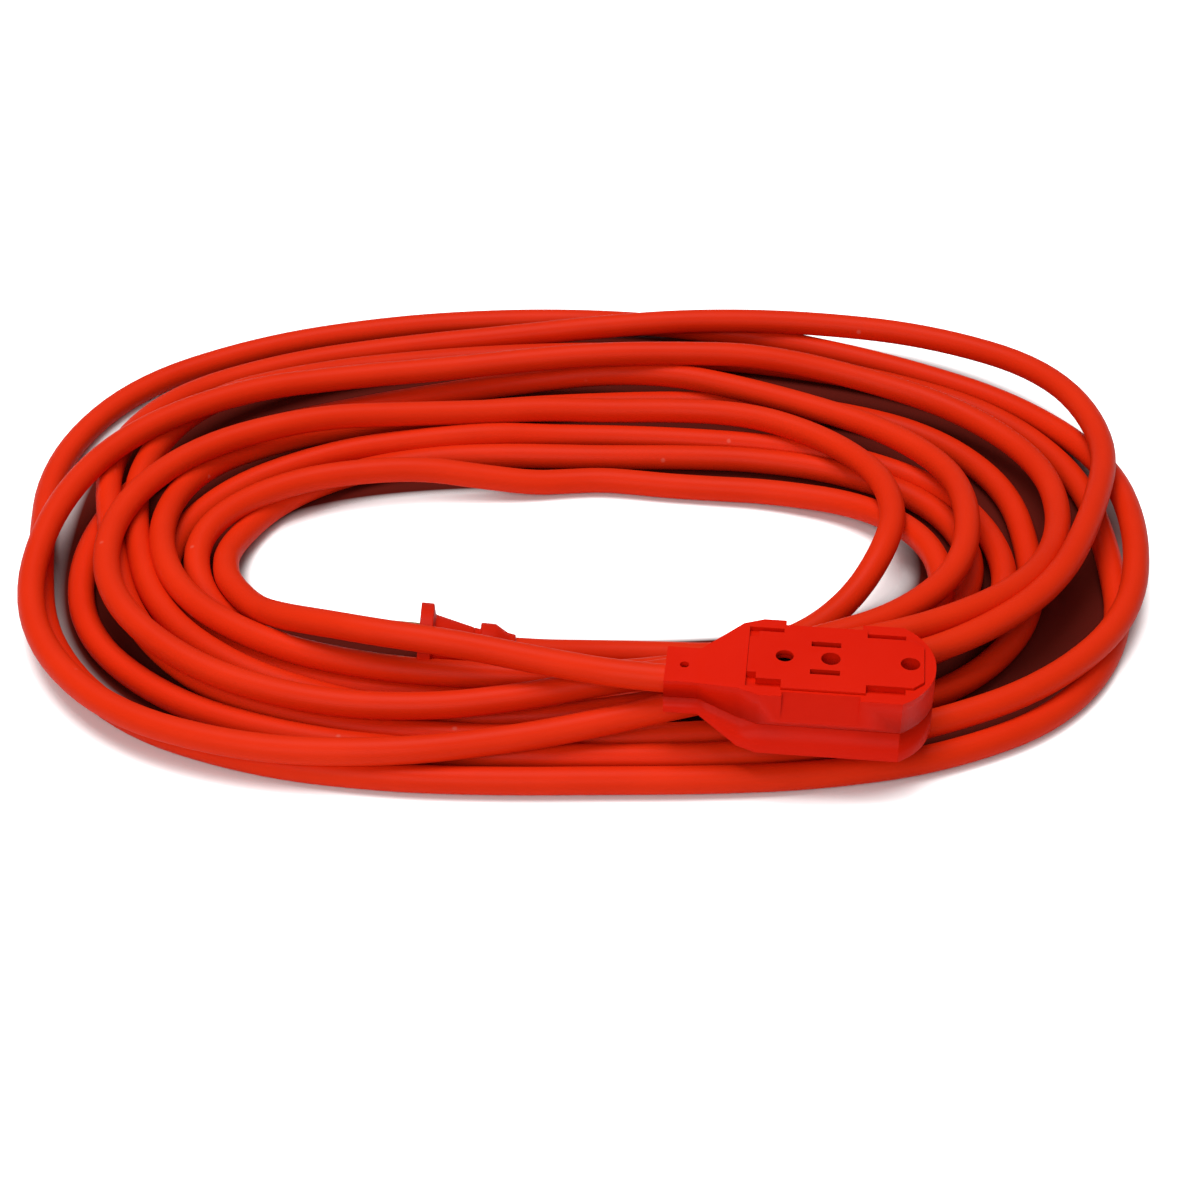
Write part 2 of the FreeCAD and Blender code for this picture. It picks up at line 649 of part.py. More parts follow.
def make_screws():
    """Two identical case screws in one node, each with a slotted head."""
    screws = []
    for number, x in enumerate((MID_SCREW, "screw_x")):
        head = doc.addObject("Part::Cylinder", "screw_head_%d" % number)
        bind(head, Radius="screw_head / 2", Height="screw_head_height", Placement__Base__x=x,
             Placement__Base__z="recess_floor")
        shank = doc.addObject("Part::Cylinder", "screw_shank_%d" % number)
        bind(shank, Radius="screw_shank / 2", Height="screw_length", Placement__Base__x=x,
             Placement__Base__z="recess_floor - screw_length")
        screw = doc.addObject("Part::Fuse", "screw_%d" % number)
        screw.Base, screw.Tool = head, shank
        slot = doc.addObject("Part::Box", "screw_slot_%d" % number)
        bind(slot, Length="screw_head + fit_gap * 2", Width="sheet_metal", Height="screw_head_height",
             Placement__Base__x="%s - screw_head / 2 - fit_gap" % x,
             Placement__Base__y="-sheet_metal / 2",
             Placement__Base__z="recess_floor + screw_head_height / 2")
        slotted = doc.addObject("Part::Cut", "slotted_screw_%d" % number)
        slotted.Base, slotted.Tool = screw, slot
        screws.append(slotted)
    group = doc.addObject("Part::Compound", "block_case_screws")
    group.Links = screws
    group.Label = "block_case_screws"
    group.Placement = FreeCAD.Placement(Vector(), FreeCAD.Rotation(Vector(0, 0, 1), 0))
    seat_block(group)
    PARTS.append(group)


def make_cord_band():
    """The metal band that is closed on the cord's jacket just inside the neck."""
    band = new_body("block_cord_band", seat_block)
    ring = new_sketch(band, "YZ_Plane", BAND_X)
    draw_circle(ring, "0", MID, "cord_diameter + (band_wall + seat_gap) * 2")
    raise_pad(band, ring, "band_length")
    bore = new_sketch(band, "YZ_Plane", BAND_X + " + band_length")
    draw_circle(bore, "0", MID, "cord_diameter + seat_gap * 2")
    sink_pocket(band, bore, "band_length")


def block_place():
    """Where the block's own axes lie."""
    turn = FreeCAD.Rotation(Vector(0, 0, 1), size("block_yaw"))
    return FreeCAD.Placement(Vector(size("block_x"), size("block_y"), value_of(BLOCK_Z)), turn)


def plug_place():
    """Where the plug's own axes lie."""
    turn = FreeCAD.Rotation(0, size("plug_pitch"), size("plug_roll"))
    return FreeCAD.Placement(Vector(size("plug_x"), size("plug_y"), value_of(PLUG_Z)), turn)


def make_block_wires():
    """The three insulated wires from the cord's cut end to the crimps."""
    start = value_of(JACKET_END + " + seat_gap")
    middle, ring, wire = value_of(MID), size("wire_ring"), size("wire_diameter")
    crimp_y = size("pin_spacing") / 2
    crimp_z = value_of("%s + %s / 2" % (CONTACT_Z, CRIMP))
    crimp_x = size("tail_end")
    for label, side in (("block_hot_wire", 1), ("block_neutral_wire", -1)):
        from_y, from_z = side * ring * math.cos(math.pi / 6), middle + ring / 2
        to_y = side * crimp_y
        route = [(start, from_y, from_z),
                 (start + size("wire_run"), from_y + side * size("wire_spread"),
                  from_z - size("wire_dip")),
                 (crimp_x - size("wire_lead_in"), to_y, crimp_z),
                 (crimp_x + size("wire_grip"), to_y, crimp_z)]
        add_tube(label, route, wire, block_place())
    low = middle - ring
    route = [(start, 0, low), (value_of(GROUND_TAIL_END) + size("ground_wire_grip"), 0, low)]
    add_tube("block_ground_wire", route, wire, block_place())


def make_plug_body():
    """The moulded plug: a round flange behind the prongs, then a tapered shank."""
    body = new_body("plug_body", seat_plug)
    half = new_sketch(body, "XZ_Plane")
    seat = INSERT + " / 2 + seat_gap"
    pocket = INSERT + " / 2 - insert_ledge"
    rim = FLANGE + " / 2"
    bore = "cord_diameter / 2 + fit_gap"
    draw_outline(half, [
        ("0", seat), ("0", rim), ("flange_thickness", rim),
        ("flange_thickness + shoulder_step", "shoulder_diameter / 2"), ("shank_end", "shank_diameter / 2"),
        ("shank_end", bore), ("chamber_end", bore), ("chamber_end", "chamber_diameter / 2"),
        (FEET_END + " + seat_gap", "chamber_diameter / 2"), (FEET_END + " + seat_gap", pocket),
        ("insert_thickness", pocket),
        ("insert_thickness", seat)])
    spin(body, half)


def make_strain_relief():
    """The tapered boot behind the plug, with the ring that the fingers pull on."""
    boot = new_body("plug_strain_relief", seat_plug)
    half = new_sketch(boot, "XZ_Plane")
    bore = "cord_diameter / 2 + fit_gap"
    collar_end = COLLAR_START + " + collar_length"
    draw_outline(half, [
        ("shank_end", bore), ("shank_end", "shank_diameter / 2"),
        (COLLAR_START, "shank_diameter / 2 - boot_step"), (COLLAR_START, "collar_diameter / 2"),
        (collar_end, "collar_diameter / 2"), (collar_end + " + collar_taper", "%s + boot_shoulder" % bore),
        (BOOT_END, "%s + boot_wall" % bore), (BOOT_END, bore)])
    spin(boot, half)


def make_face_insert():
    """The rigid disc that holds the prongs in the plug's face."""
    insert = new_body("plug_face_insert", seat_plug)
    disc = new_sketch(insert, "YZ_Plane")
    draw_circle(disc, "0", "0", INSERT)
    raise_pad(insert, disc, "insert_thickness")
    holes = new_sketch(insert, "YZ_Plane", "insert_thickness")
    for y in SLOTS:
        draw_box(holes, "%s - blade_thickness / 2 - seat_gap" % y,
                 "%s + blade_thickness / 2 + seat_gap" % y,
                 BLADE_Z + " - blade_width / 2 - seat_gap", BLADE_Z + " + blade_width / 2 + seat_gap")
    draw_circle(holes, "0", "-" + PRONG_DROP, "ground_pin + seat_gap * 2")
    sink_pocket(insert, holes, "insert_thickness")


def add_barrel(prong, y, z):
    """The crimp barrel behind the face, on the foot of a prong."""
    barrel = new_sketch(prong, "YZ_Plane", "insert_thickness")
    draw_circle(barrel, y, z, CRIMP)
    raise_pad(prong, barrel, "sheet_metal + crimp_length")
    bore = new_sketch(prong, "YZ_Plane", FEET_END + " + crimp_length")
    draw_circle(bore, y, z, "wire_diameter + seat_gap * 2")
    sink_pocket(prong, bore, "crimp_length")


def make_blade(label, side):
    """A flat blade with its foot behind the face insert."""
    blade = new_body(label, seat_plug)
    y = "%s(pin_spacing / 2)" % side
    section = new_sketch(blade, "YZ_Plane", "-blade_length")
    draw_box(section, "%s - blade_thickness / 2" % y, "%s + blade_thickness / 2" % y,
             BLADE_Z + " - blade_width / 2", BLADE_Z + " + blade_width / 2")
    raise_pad(blade, section, "blade_length + insert_thickness")
    foot = new_sketch(blade, "YZ_Plane", "insert_thickness")
    inner, outer = "%s(wire_diameter / 2)" % side, "%s(pin_spacing / 2 + blade_thickness / 2)" % side
    draw_box(foot, *(outer, inner) if side else (inner, outer), BLADE_Z + " - blade_width / 2",
             BLADE_Z + " + blade_width / 2")
    raise_pad(blade, foot, "sheet_metal")
    add_barrel(blade, "%s(prong_ring * sqrt(3) / 2)" % side, "prong_ring / 2")


def make_ground_pin():
    """The round ground pin, longer than the blades, with its foot and barrel."""
    pin = new_body("plug_ground_pin", seat_plug)
    section = new_sketch(pin, "YZ_Plane", "-ground_length")
    draw_circle(section, "0", "-" + PRONG_DROP, "ground_pin")
    raise_pad(pin, section, "ground_length + insert_thickness")
    foot = new_sketch(pin, "YZ_Plane", "insert_thickness")
    draw_box(foot, "-ground_pin / 2", "ground_pin / 2", "-%s - ground_pin / 2" % PRONG_DROP,
             "-wire_diameter / 2")
    raise_pad(pin, foot, "sheet_metal")
    add_barrel(pin, "0", "-prong_ring")


def make_plug_wires():
    """The three insulated wires from the prongs' barrels to the cord's cut end."""
    rear = value_of(FEET_END + " + crimp_length + seat_gap")
    front = rear - size("plug_wire_grip")
    stop, far, near = size("jacket_stop") - size("wire_stop"), size("prong_ring"), size("wire_ring")
    for label, angle in (("plug_hot_wire", 150), ("plug_neutral_wire", 30), ("plug_ground_wire", 270)):
        across, up = math.cos(math.radians(angle)), math.sin(math.radians(angle))
        route = [(front, far * across, far * up), (rear, far * across, far * up),
                 (stop, near * across, near * up)]
        add_tube(label, route, size("wire_diameter"), plug_place())


# At the front the high layer starts this many turns of the low one further in.
FRONT_SHIFT = 1.5


def coil_station(quarter):
    """Middle of the cord at a quarter turn, counted from the first pass of the left end.
    The low layer spirals out and the high one spirals in, each at a steady rate. The cord
    climbs between them in the half turn from the last low front to the first high back. At
    the front the high layer lies over the valleys of the low one."""
    cord, low_turns = size("cord_diameter"), int(size("turns_low"))
    side = ("left", "back", "right", "front")[quarter % 4]
    turn = quarter // 4
    pitch = cord + size(side + "_gap")
    reach = size(side + "_start") + pitch * turn
    low, high = value_of(LOW_Z), value_of(HIGH_Z)
    height = low
    if turn >= low_turns:
        widest = low_turns if side != "front" else low_turns - FRONT_SHIFT
        gap = size(side + "_gap_high") if side in ("left", "back") else size(side + "_gap")
        reach = size(side + "_start") + pitch * widest - (cord + gap) * (turn - low_turns)
        height = high if quarter > low_turns * 4 else (low + high) / 2
    x, y = {"left": (-reach, size("left_y")), "back": (size("back_x"), reach),
            "right": (reach, size("right_y")), "front": (size("front_x"), -reach)}[side]
    return Vector(size("coil_x") + x, size("coil_y") + y, height)


def coil_heading(quarter):
    """Direction of the cord at a quarter turn, clockwise from above."""
    heading = Vector(*((0, 1, 0), (1, 0, 0), (0, -1, 0), (-1, 0, 0))[quarter % 4])
    if quarter == int(size("turns_low")) * 4:
        heading.z = size("climb_slope")
    return heading.normalize()


def corner_arc(start, corner, end):
    """The arc that touches both legs of a corner, of equal length, at their far ends."""
    into, out = corner - start, end - corner
    half = into.getAngle(out) / 2
    radius = into.Length / math.tan(half)
    bulge = (start + end) / 2 - corner
    bulge.normalize()
    middle = corner + bulge * (radius / math.cos(half) - radius)
    return Part.Arc(start, middle, end), radius


def biarc(start, heading, end, end_heading):
    """Two arcs with a shared tangent that join two points in two given directions, with
    legs of one length."""
    span, both = end - start, heading + end_heading
    slack = 4 - both.dot(both)
    along = span.dot(both)
    leg = (math.sqrt(along ** 2 + slack * span.dot(span)) - along) / slack
    first, second = start + heading * leg, end - end_heading * leg
    join = (first + second) / 2
    return [corner_arc(start, first, join), corner_arc(join, second, end)]


def coil_ends():
    """The quarter turn at which the coil ends, a back station on the high layer."""
    return (int(size("turns_low")) + int(size("turns_high"))) * 4 + 1


def coil_path():
    """Edges of the coil's centreline, with a straight end of one diameter at each end, and
    the least radius of its arcs."""
    cord, last = size("cord_diameter"), coil_ends()
    start, end = coil_station(0), coil_station(last)
    pieces = []
    for quarter in range(last):
        pieces += biarc(coil_station(quarter), coil_heading(quarter), coil_station(quarter + 1),
                        coil_heading(quarter + 1))
    edges = [Part.LineSegment(start - coil_heading(0) * cord, start).toShape()]
    edges += [arc.toShape() for arc, radius in pieces]
    edges.append(Part.LineSegment(end, end + coil_heading(last) * cord).toShape())
    return edges, min(radius for arc, radius in pieces)


def least_gap(edges, diameter, step=4.0):
    """Least clear gap between parts of a centreline that are further apart along it than
    ten diameters, measured from points to the short chords between points."""
    spots = []
    for edge in edges:
        spots += edge.discretize(max(2, int(edge.Length / step) + 1))[:-1]
    skip = int(10 * diameter / step)
    least = 1e9
    for one, here in enumerate(spots):
        for other in range(one + skip, len(spots) - 1):
            there = spots[other]
            if abs(there.x - here.x) > least + step or abs(there.y - here.y) > least + step:
                continue
            chord = spots[other + 1] - there
            share = min(1, max(0, (here - there).dot(chord) / chord.dot(chord)))
            least = min(least, (here - there - chord * share).Length)
    return least - diameter


def make_coil():
    """The coil as one unbroken tube, cut flat where it lies on the floor."""
    cord = size("cord_diameter")
    edges, radius = coil_path()
    path = Part.Wire(edges)
    start = coil_station(0) - coil_heading(0) * cord
    ring = Part.Wire(Part.makeCircle(cord / 2, start, coil_heading(0)))
    tube = path.makePipeShell([ring], True, False)
    share = tube.Volume / (math.pi * cord ** 2 / 4 * path.Length)
    print("cord_coil: length %.1f, least radius %.1f, volume / (section x length) %.4f"
          % (path.Length, radius, share))
    print("cord_coil: least gap to itself %.2f" % least_gap(edges, cord))
    part = doc.addObject("Part::Feature", "cord_coil")
    part.Label = "cord_coil"
    part.Shape = trim_at_floor(tube)
    PARTS.append(part)
    return path.Length


# Where the cord isn't coiled, its route is a list of points, from the coil's middle.
BLOCK_LEAD = [
    (-14.0, -84.0, 25.8),
    (-42.0, -75.5, 25.0),
    (-67.0, -71.3, 25.6),
    (-84.0, -63.8, 24.2),
    (-96.5, -53.5, 19.6),
    (-105.5, -42.5, 13.4),
    (-112.5, -31.0, 7.8),
    (-118.0, -19.5, 4.6),
]
PLUG_LEAD = [
    (30.5, 74.2, 12.9),
    (51.7, 68.5, 13.0),
    (68.7, 57.9, 13.0),
    (80.9, 43.4, 13.2),
    (88.0, 25.8, 13.2),
    (89.3, 6.8, 10.0),
    (85.4, -11.5, 6.2),
    (77.5, -27.8, 4.6),
    (66.5, -41.0, 4.4),
    (53.0, -50.0, 4.4),
    (36.5, -54.3, 4.4),
    (18.5, -53.5, 4.4),
    (-1.5, -54.5, 5.6),
]


def make_leads():
    """The free stretches: from the block to the coil's start, and from its end to the plug."""
    cord = size("cord_diameter")
    middle = Vector(size("coil_x"), size("coil_y"), 0)
    block, plug = block_place(), plug_place()
    half = value_of(MID)
    route = [block.multVec(Vector(value_of(JACKET_END), 0, half)),
             block.multVec(Vector(size("neck_end") - cord, 0, half))]
    route += [middle + Vector(*p) for p in BLOCK_LEAD]
    route.append(coil_station(0) - coil_heading(0) * cord)
    length = add_tube("cord_block_lead", route, cord, trim=True)
    last = coil_ends()
    route = [coil_station(last) + coil_heading(last) * cord]
    route += [middle + Vector(*p) for p in PLUG_LEAD]
    route += [plug.multVec(Vector(value_of(BOOT_END) + cord / 2, 0, 0)),
              plug.multVec(Vector(size("jacket_stop"), 0, 0))]
    return length + add_tube("cord_plug_lead", route, cord)


make_lower_shell()
make_upper_shell()
make_face_plate()
make_contact_carrier()
make_blade_contact("block_hot_contact", SLOTS[0])
make_blade_contact("block_neutral_contact", SLOTS[1])
make_ground_contact()
make_screws()
make_cord_band()
make_block_wires()
make_plug_body()
make_face_insert()
make_blade("plug_hot_blade", "-")
make_blade("plug_neutral_blade", "")
make_ground_pin()
make_plug_wires()
make_strain_relief()
print("cord: whole length %.0f" % (make_coil() + make_leads()))

doc.recompute()
for item in doc.Objects:
    if "Invalid" in item.State or "Error" in item.State:
        raise RuntimeError("%s failed: %s" % (item.Label, item.State))
for part in PARTS:
    if part.Shape.isNull() or not part.Shape.isValid():
        raise RuntimeError("%s has no valid shape" % part.Label)
os.makedirs("parts", exist_ok=True)
for part in PARTS:
    part.Shape.exportStep("parts/%s.step" % part.Label)
    box = part.Shape.BoundBox
    print("%-22s %d solid(s) %9.1f mm3  x %.1f..%.1f  y %.1f..%.1f  z %.1f..%.1f" % (
        part.Label, len(part.Shape.Solids), part.Shape.Volume, box.XMin, box.XMax, box.YMin, box.YMax,
        box.ZMin, box.ZMax))
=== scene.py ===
# %% [markdown]
# # An outdoor extension cord, wound up for storage
#
# The real thing is about seven and three quarter metres of round orange-red cord. It lies in a
# loose oval coil. A waisted outlet block rests on the front of the coil, and a round plug lies
# inside it. The CAD solids give every place and size, so this script loads them first. It then
# dresses them: the cord becomes one smooth tube, the mouldings get soft edges, and every piece
# gets its finish.

import math

import bmesh
import bpy
import numpy as np
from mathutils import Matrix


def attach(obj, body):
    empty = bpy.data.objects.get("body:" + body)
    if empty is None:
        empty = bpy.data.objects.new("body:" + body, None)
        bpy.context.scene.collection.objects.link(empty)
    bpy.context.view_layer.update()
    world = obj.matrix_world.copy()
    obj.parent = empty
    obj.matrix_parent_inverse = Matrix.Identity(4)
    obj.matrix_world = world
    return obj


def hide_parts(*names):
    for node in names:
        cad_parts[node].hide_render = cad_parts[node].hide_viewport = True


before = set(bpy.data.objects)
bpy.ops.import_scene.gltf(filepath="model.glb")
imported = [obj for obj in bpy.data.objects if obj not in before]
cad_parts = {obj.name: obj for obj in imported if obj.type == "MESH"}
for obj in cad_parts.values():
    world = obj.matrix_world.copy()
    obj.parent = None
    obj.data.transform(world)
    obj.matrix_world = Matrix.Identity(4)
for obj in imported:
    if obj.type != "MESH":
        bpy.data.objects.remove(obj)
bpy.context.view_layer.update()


# %% [markdown]
# ## Camera
#
# A product photograph like this one is taken with a long lens from above the front edge. The long
# lens keeps the far side of the oval nearly as large as the near side. The camera could be placed
# by eye, but here it stands where the outlet's known slot spacing puts it.

# %% Camera
MM = 0.001
COIL_X, COIL_Y = -10.27, 81.95
CAMERA_BACK, CAMERA_UP = 660.0, 500.0
CAMERA_TILT = 38.0
LENS, SENSOR = 75.0, 36.0

camera_data = bpy.data.cameras.new("product_camera")
camera_data.lens = LENS
camera_data.sensor_width = SENSOR
camera_data.sensor_fit = "HORIZONTAL"
camera = bpy.data.objects.new("product_camera", camera_data)
camera.location = (COIL_X * MM, (COIL_Y - CAMERA_BACK) * MM, CAMERA_UP * MM)
camera.rotation_euler = (math.radians(90.0 - CAMERA_TILT), 0.0, 0.0)
bpy.context.scene.collection.objects.link(camera)
bpy.context.scene.camera = camera
bpy.context.scene.view_settings.view_transform = "Standard"
print("camera at", tuple(camera.location))


# %% [markdown]
# ## Light
#
# The photograph has the even light of a studio tent. The tops of the cords are bright, their sides
# turn a deeper red, and only the gaps between them are dark. One large lamp overhead, a weaker one
# by the camera and a pale sky give that without hard shadows.

# %% Lamps and sky
def area_lamp(name, place, aim, width, watts):
    """A square lamp of that width, turned so that its face looks from place to aim."""
    data = bpy.data.lights.new(name, "AREA")
    data.shape = "SQUARE"
    data.size = width
    data.energy = watts
    lamp = bpy.data.objects.new(name, data)
    look = np.array(aim, float) - np.array(place, float)
    lean = math.atan2(math.hypot(look[0], look[1]), -look[2])
    turn = math.atan2(look[1], look[0]) - math.pi / 2
    lamp.location = place
    lamp.rotation_euler = (lean, 0.0, turn)
    bpy.context.scene.collection.objects.link(lamp)
    return lamp


AIM = (COIL_X * MM, COIL_Y * MM, 0.0)
LAMP_WIDTH = 0.8
SKY_STRENGTH = 0.20
area_lamp("lamp_overhead", (-0.15, 0.25, 1.30), AIM, LAMP_WIDTH, watts=13.0)
area_lamp("lamp_by_camera", (-0.35, -1.00, 0.80), AIM, LAMP_WIDTH, watts=8.5)

sky = bpy.data.worlds.new("pale_sky")
sky.use_nodes = True
sky_shader = sky.node_tree.nodes["Background"]
sky_shader.inputs["Color"].default_value = (1.0, 1.0, 1.0, 1.0)
sky_shader.inputs["Strength"].default_value = SKY_STRENGTH
bpy.context.scene.world = sky


# %% [markdown]
# ## Small helpers for shaders
#
# A finish is a net of small nodes, so the few kinds that come back again and again get a short
# function each. Each takes sockets or plain numbers and gives back the socket of its result.

# %% Shader helpers
def noise(tree, vector, scale, detail=3.0):
    """A noise node read at the vector, with the scale given as a socket or a number."""
    node = tree.nodes.new("ShaderNodeTexNoise")
    node.inputs["Detail"].default_value = detail
    node.inputs["Roughness"].default_value = 0.55
    tree.links.new(vector, node.inputs["Vector"])
    if isinstance(scale, (int, float)):
        node.inputs["Scale"].default_value = scale
    else:
        tree.links.new(scale, node.inputs["Scale"])
    return node.outputs["Fac"]


def number(tree, operation, a, b=None, c=None):
    """A math node on one, two or three sockets or numbers."""
    node = tree.nodes.new("ShaderNodeMath")
    node.operation = operation
    for socket, value in zip(node.inputs, (a, b, c)):
        if value is None:
            continue
        if isinstance(value, (int, float)):
            socket.default_value = value
        else:
            tree.links.new(value, socket)
    return node.outputs[0]


def ramp(tree, value, low, high):
    """0 at low, 1 at high, straight between and level beyond. Low may be the larger one."""
    node = tree.nodes.new("ShaderNodeMapRange")
    node.inputs["From Min"].default_value = low
    node.inputs["From Max"].default_value = high
    tree.links.new(value, node.inputs["Value"])
    return node.outputs["Result"]


def blend(tree, share, a, b):
    """The mix of two colours."""
    node = tree.nodes.new("ShaderNodeMix")
    node.data_type = "RGBA"
    tree.links.new(share, node.inputs["Factor"])
    for socket, value in ((node.inputs["A"], a), (node.inputs["B"], b)):
        if isinstance(value, tuple):
            socket.default_value = value
        else:
            tree.links.new(value, socket)
    return node.outputs["Result"]


# %% [markdown]
# ## Floor
#
# The background is white paper that has no edge. A floor that curves up into a back wall does this
# in a studio, so the same sweep is built here. Seen straight from the camera it is lifted to white,
# but not close beside a strand, and not under the coil. Under the coil the paper is painted a dark
# red shade, which stands in for the shade between the strands and the dark red the cords throw on
# it. Two ovals mark that painted ring: one near the coil's outline and one round the hole in its
# middle.

# %% Paper sweep
def grid_mesh(name, points, wrap=False):
    """A mesh over a grid of points: rows by columns by three. Wrapping closes every row."""
    rows, columns = points.shape[:2]
    across = columns if wrap else columns - 1
    r, c = np.meshgrid(np.arange(rows - 1), np.arange(across), indexing="ij")
    up, on = r + 1, (c + 1) % columns
    quads = np.stack([r * columns + c, r * columns + on, up * columns + on, up * columns + c], -1)
    mesh = bpy.data.meshes.new(name)
    mesh.from_pydata(points.reshape(-1, 3).tolist(), [], quads.reshape(-1, 4).tolist())
    mesh.update()
    return mesh


def add_object(name, mesh):
    """An object at the origin that shows the mesh."""
    piece = bpy.data.objects.new(name, mesh)
    bpy.context.scene.collection.objects.link(piece)
    return piece


SWEEP_STEPS = 24


def sweep_points(half_width, front, back, radius, height):
    """A flat floor, a quarter circle of that radius, then a wall: one profile carried along X."""
    turn = np.linspace(0.0, np.pi / 2, SWEEP_STEPS)
    y = np.concatenate([[front], back + radius * np.sin(turn), [back + radius]])
    z = np.concatenate([[0.0], radius * (1.0 - np.cos(turn)), [height]])
    x = np.linspace(half_width, -half_width, 2)
    grid = np.zeros((len(y), len(x), 3))
    grid[..., 0] = x[None, :]
    grid[..., 1] = y[:, None]
    grid[..., 2] = z[:, None]
    return grid


paper = sweep_points(half_width=4.0, front=-4.0, back=2.2, radius=0.8, height=4.0)
floor = add_object("paper_sweep", grid_mesh("paper_sweep", paper))


# %% Look of the paper
OVAL_POWER = 2.6
HOLE_CENTRE, HOLE_HALF = (-0.0183, 0.0825), (0.110, 0.0415)
RING_CENTRE, RING_HALF = (-0.0138, 0.0985), (0.180, 0.128)
HOLE_EDGE = (1.1, 0.9)
RING_EDGE = (0.9, 1.05)
OPEN_WHITE = (0.86, 0.86, 0.86, 1.0)
# Painted shade: the dark red given to the paper in the ring under the coil, where there is only
# shade.
RING_PAINTED_SHADE = (0.110, 0.012, 0.008, 1.0)
SHADE_REACH, SHADE_SAMPLES = 0.024, 16
SHADE_EDGE = (0.40, 0.78)


def oval_field(tree, place, centre, half):
    """(|x - cx| / wide)^power + (|y - cy| / deep)^power: 1 on the oval and less inside it."""
    split = tree.nodes.new("ShaderNodeSeparateXYZ")
    tree.links.new(place, split.inputs["Vector"])
    parts = []
    for axis, middle, reach in zip("XY", centre, half):
        away = number(tree, "ABSOLUTE", number(tree, "SUBTRACT", split.outputs[axis], middle))
        parts.append(number(tree, "POWER", number(tree, "DIVIDE", away, reach), OVAL_POWER))
    return number(tree, "ADD", *parts)


def white_paper():
    """White where it lies open, there lifted to full white for the camera. In the ring under the
    coil it is painted a dark red shade.
    """
    material = bpy.data.materials.new("white_paper")
    material.use_nodes = True
    tree = material.node_tree
    tree.nodes.clear()
    leave = tree.nodes.new("ShaderNodeOutputMaterial")
    face = tree.nodes.new("ShaderNodeBsdfDiffuse")
    glow = tree.nodes.new("ShaderNodeEmission")
    both = tree.nodes.new("ShaderNodeAddShader")
    seen = tree.nodes.new("ShaderNodeLightPath").outputs["Is Camera Ray"]
    place = tree.nodes.new("ShaderNodeTexCoord").outputs["Object"]
    open_sky = tree.nodes.new("ShaderNodeAmbientOcclusion")
    open_sky.samples = SHADE_SAMPLES
    open_sky.inputs["Distance"].default_value = SHADE_REACH
    in_hole = ramp(tree, oval_field(tree, place, HOLE_CENTRE, HOLE_HALF), *HOLE_EDGE)
    outside = ramp(tree, oval_field(tree, place, RING_CENTRE, RING_HALF), *RING_EDGE)
    # clear is 1 in the hole and outside the coil. In the ring it is 0, so the glow is off and the
    # paper gets the painted shade.
    clear = number(tree, "MAXIMUM", in_hole, outside)
    lift = number(tree, "MULTIPLY", ramp(tree, open_sky.outputs["AO"], *SHADE_EDGE), clear)
    tree.links.new(blend(tree, clear, RING_PAINTED_SHADE, OPEN_WHITE), face.inputs["Color"])
    tree.links.new(number(tree, "MULTIPLY", lift, seen), glow.inputs["Strength"])
    tree.links.new(face.outputs[0], both.inputs[0])
    tree.links.new(glow.outputs[0], both.inputs[1])
    tree.links.new(both.outputs[0], leave.inputs["Surface"])
    return material


floor.data.materials.append(white_paper())
print("floor:", len(floor.data.polygons), "faces")


# %% [markdown]
# ## The way of the cord
#
# A cord that is wound by hand never makes the same loop twice. Each turn here is an oval whose
# reach is chosen at eight places round the coil, from the strands that show there. The layer says
# which strand lies on which where two of them cross. A plain spiral would be shorter to write, but
# its turns would lie side by side like thread on a spool.

# %% Turns of the coil
CORD = 8.5
COMPASS = [180, 144, 90, 36, 0, -36, -90, -144]
TURNS = [
    [(122.5, 0), (88, 0), (55, 0), (86, 0), (124, 0), (97, 0), (66.5, 0), (101, 0)],
    [(134, 0), (65, 0), (41.5, 0), (60, 0), (107, 0), (106.5, 0), (75.3, 0), (112, 0)],
    [(145, 0), (97, 0), (67.5, 0), (96, 0), (132.7, 0), (116, 0), (84, 0), (123, 0)],
    [(153, 0), (156, 0), (122, 0), (156.5, 0), (168, 0), (157, 0), (112, 0), (161, 0)],
    [(185, 0), (190, 0), (145, 0), (166.5, 0), (177, 0), (148, 0.5), (101.8, 0), (144, 0)],
    [(171.5, -0.3), (133, -0.3), (101, 0), (111, 0.5), (121, 0.6), (101, 1), (72, 0.6), (109, 0.4)],
    [(146, 0.4), (118, 0.3), (88, 0), (129, 0), (142, 0), (127, 0), (93, 0), (133.5, 0)],
    [(161, 0), (172, 0.4), (131.5, 0.4), (182, 0.5), (161, 0.8), (122, 1), (97.5, 1), (167, 1)],
    [(181, 1), (137, 1), (98.5, 1), (141, 1), (152, 0.8), (111, 1), (83, 1), (136, 1)],
    [(160, 1), (105, 1), (74, 1)],
]
POINTS_A_TURN = 24
COIL_WIDE, COIL_DEEP = 150.0, 92.0


def oval_reach(angle):
    """The oval's reach: (|cos a| / wide)^power + (|sin a| / deep)^power, all to -1 / power."""
    across = np.abs(np.cos(angle)) / COIL_WIDE
    along = np.abs(np.sin(angle)) / COIL_DEEP
    return (across**OVAL_POWER + along**OVAL_POWER) ** (-1.0 / OVAL_POWER)


def smooth_through(x, knots, values):
    """A cubic through the knots whose slope at each is that of its neighbours."""
    slope = np.gradient(values, knots)
    k = np.clip(np.searchsorted(knots, x, side="right") - 1, 0, len(knots) - 2)
    step = knots[k + 1] - knots[k]
    t = (x - knots[k]) / step
    start = (1 + 2 * t) * (1 - t) ** 2 * values[k] + t * (1 - t) ** 2 * step * slope[k]
    end = t * t * (3 - 2 * t) * values[k + 1] + t * t * (t - 1) * step * slope[k + 1]
    return start + end


